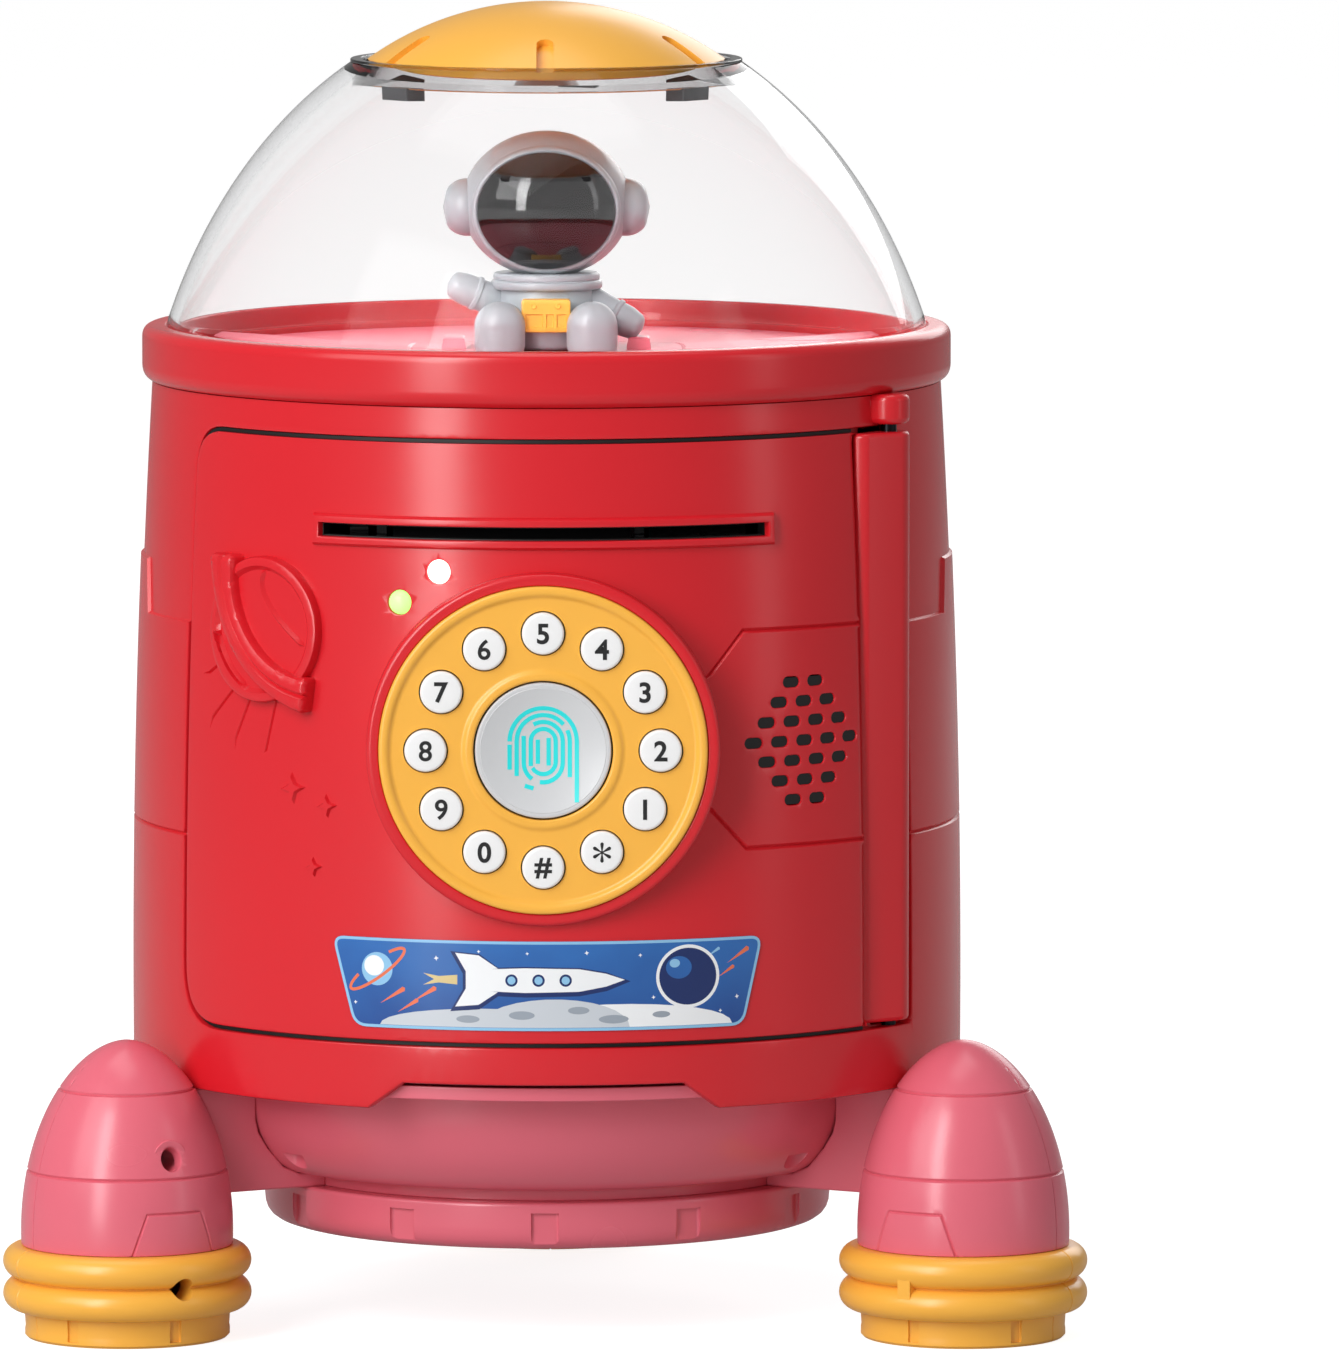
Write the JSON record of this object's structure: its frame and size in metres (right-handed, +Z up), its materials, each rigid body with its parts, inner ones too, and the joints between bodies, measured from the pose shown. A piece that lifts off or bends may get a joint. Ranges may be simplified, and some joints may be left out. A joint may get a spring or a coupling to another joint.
{
  "type": "toy safe coin bank",
  "caption": "Rocket-shaped toy safe: a barrel bank on booster feet with a keypad door, a fed banknote slot and a clear dome over a turning figure.",
  "frame": {"origin": "on the floor, at the middle of the whole object's footprint; the barrel's own axis is 16.15 mm in front of it (y = -0.01615), because the single rear foot reaches further back than the dial reaches forward", "axes": "+Z up along the barrel, the door and its dial face -Y, +X is the hinge side"},
  "size_m": [0.2034, 0.1952, 0.248],
  "materials": {
    "red_shell": "glossy moulded ABS",
    "pink_shell": "glossy moulded ABS",
    "yellow_shell": "glossy moulded ABS",
    "clear_dome": "clear polished styrene",
    "smoke_collar": "dark smoke tinted, glossy",
    "grey_figure": "semi-gloss moulded ABS",
    "black_visor": "black, high gloss",
    "white_key": "satin white caps with printed marks",
    "grey_button": "satin, dished, with a lit icon",
    "led_lens": "frosted lamp lenses, one white and one green",
    "label_print": "printed film label",
    "dark_plastic": "fine matt black",
    "grey_inner": "fine matt grey",
    "white_gear": "natural acetal",
    "steel": "zinc plated",
    "circuit_board": "green solder mask",
    "battery_jacket": "printed cell jackets"
  },
  "bodies": {
    "safe": {"barrel_shell": "red_shell", "rim_ring": "red_shell", "deck_frame": "pink_shell", "lower_bowl": "pink_shell", "nozzle_base": "pink_shell", "fins": "pink_shell", "battery_door": "pink_shell", "left_booster_cover": "pink_shell", "left_booster_shell": "pink_shell", "right_booster_cover": "pink_shell", "right_booster_shell": "pink_shell", "rear_booster_cover": "pink_shell", "rear_booster_shell": "pink_shell", "left_foot": "yellow_shell", "right_foot": "yellow_shell", "rear_foot": "yellow_shell", "dome": "clear_dome", "dome_collar": "smoke_collar", "battery_box": "dark_plastic", "coin_chute": "grey_inner", "booster_screws": "steel", "base_screws": "steel", "battery_contacts": "steel", "hinge_pin": "steel", "turntable_motor": "steel", "light_board": "circuit_board", "batteries": "battery_jacket"},
    "door": {"door_panel": "red_shell", "door_liner": "dark_plastic", "dial_plate": "yellow_shell", "label": "label_print", "planet_handle": "red_shell", "led_lenses": "led_lens", "speaker": "dark_plastic", "keypad_board": "circuit_board", "lock_solenoid": "steel", "feed_motor": "steel"},
    "turntable": {"turntable": "pink_shell", "astronaut": "grey_figure", "visor": "black_visor", "chest_panel": "yellow_shell"},
    "pinion": {"motor_pinion": "white_gear"},
    "cap": {"cap": "yellow_shell"},
    "switch": {"power_switch": "dark_plastic"},
    "fingerprint_button": {"fingerprint_button": "grey_button"},
    "bolt": {"latch_bolt": "steel"},
    "lower_roller": {"feed_roller_lower": "dark_plastic"},
    "upper_roller": {"feed_roller_upper": "dark_plastic"},
    "key_0": {"key_0": "white_key"},
    "key_1": {"key_1": "white_key"},
    "key_2": {"key_2": "white_key"},
    "key_3": {"key_3": "white_key"},
    "key_4": {"key_4": "white_key"},
    "key_5": {"key_5": "white_key"},
    "key_6": {"key_6": "white_key"},
    "key_7": {"key_7": "white_key"},
    "key_8": {"key_8": "white_key"},
    "key_9": {"key_9": "white_key"},
    "key_star": {"key_star": "white_key"},
    "key_hash": {"key_hash": "white_key"}
  },
  "joints": [
    {"name": "door_swing", "type": "hinge", "parent": "safe", "child": "door", "pos_m": [0.06424, -0.05723, 0.059], "axis": [0, 0, 1], "range_deg": [0, 110]},
    {"name": "press_0", "type": "slide", "parent": "door", "child": "key_0", "axis": [0, 1, 0], "range_m": [0, 0.0015], "stiffness_N_per_m": 250, "springref_m": -0.0004},
    {"name": "press_1", "type": "slide", "parent": "door", "child": "key_1", "axis": [0, 1, 0], "range_m": [0, 0.0015], "stiffness_N_per_m": 250, "springref_m": -0.0004},
    {"name": "press_2", "type": "slide", "parent": "door", "child": "key_2", "axis": [0, 1, 0], "range_m": [0, 0.0015], "stiffness_N_per_m": 250, "springref_m": -0.0004},
    {"name": "press_3", "type": "slide", "parent": "door", "child": "key_3", "axis": [0, 1, 0], "range_m": [0, 0.0015], "stiffness_N_per_m": 250, "springref_m": -0.0004},
    {"name": "press_4", "type": "slide", "parent": "door", "child": "key_4", "axis": [0, 1, 0], "range_m": [0, 0.0015], "stiffness_N_per_m": 250, "springref_m": -0.0004},
    {"name": "press_5", "type": "slide", "parent": "door", "child": "key_5", "axis": [0, 1, 0], "range_m": [0, 0.0015], "stiffness_N_per_m": 250, "springref_m": -0.0004},
    {"name": "press_6", "type": "slide", "parent": "door", "child": "key_6", "axis": [0, 1, 0], "range_m": [0, 0.0015], "stiffness_N_per_m": 250, "springref_m": -0.0004},
    {"name": "press_7", "type": "slide", "parent": "door", "child": "key_7", "axis": [0, 1, 0], "range_m": [0, 0.0015], "stiffness_N_per_m": 250, "springref_m": -0.0004},
    {"name": "press_8", "type": "slide", "parent": "door", "child": "key_8", "axis": [0, 1, 0], "range_m": [0, 0.0015], "stiffness_N_per_m": 250, "springref_m": -0.0004},
    {"name": "press_9", "type": "slide", "parent": "door", "child": "key_9", "axis": [0, 1, 0], "range_m": [0, 0.0015], "stiffness_N_per_m": 250, "springref_m": -0.0004},
    {"name": "press_star", "type": "slide", "parent": "door", "child": "key_star", "axis": [0, 1, 0], "range_m": [0, 0.0015], "stiffness_N_per_m": 250, "springref_m": -0.0004},
    {"name": "press_hash", "type": "slide", "parent": "door", "child": "key_hash", "axis": [0, 1, 0], "range_m": [0, 0.0015], "stiffness_N_per_m": 250, "springref_m": -0.0004},
    {"name": "press_fingerprint", "type": "slide", "parent": "door", "child": "fingerprint_button", "axis": [0, 1, 0], "range_m": [0, 0.0015], "stiffness_N_per_m": 300, "springref_m": -0.0004},
    {"name": "bolt_slide", "type": "slide", "parent": "door", "child": "bolt", "axis": [-0.6947, 0.7193, 0], "range_m": [0, 0.005]},
    {"name": "lower_roller_turn", "type": "hinge", "parent": "door", "child": "lower_roller", "pos_m": [0, -0.07365, 0.1491], "axis": [1, 0, 0], "continuous": true},
    {"name": "upper_roller_turn", "type": "hinge", "parent": "door", "child": "upper_roller", "pos_m": [0, -0.07365, 0.1579], "axis": [1, 0, 0], "continuous": true},
    {"name": "deck_turn", "type": "hinge", "parent": "safe", "child": "turntable", "pos_m": [0, -0.01615, 0.18], "axis": [0, 0, 1], "continuous": true},
    {"name": "pinion_turn", "type": "hinge", "parent": "safe", "child": "pinion", "pos_m": [0, 0.00985, 0.178], "axis": [0, 0, 1], "continuous": true},
    {"name": "cap_twist", "type": "hinge", "parent": "safe", "child": "cap", "pos_m": [0, -0.01615, 0.237], "axis": [0, 0, 1], "range_deg": [0, 30]},
    {"name": "switch_slide", "type": "slide", "parent": "safe", "child": "switch", "axis": [1, 0, 0], "range_m": [0, 0.005]}
  ],
  "couplings": [
    {"joint": "upper_roller_turn", "follows": "lower_roller_turn", "ratio": -1},
    {"joint": "pinion_turn", "follows": "deck_turn", "ratio": -3.3333}
  ]
}
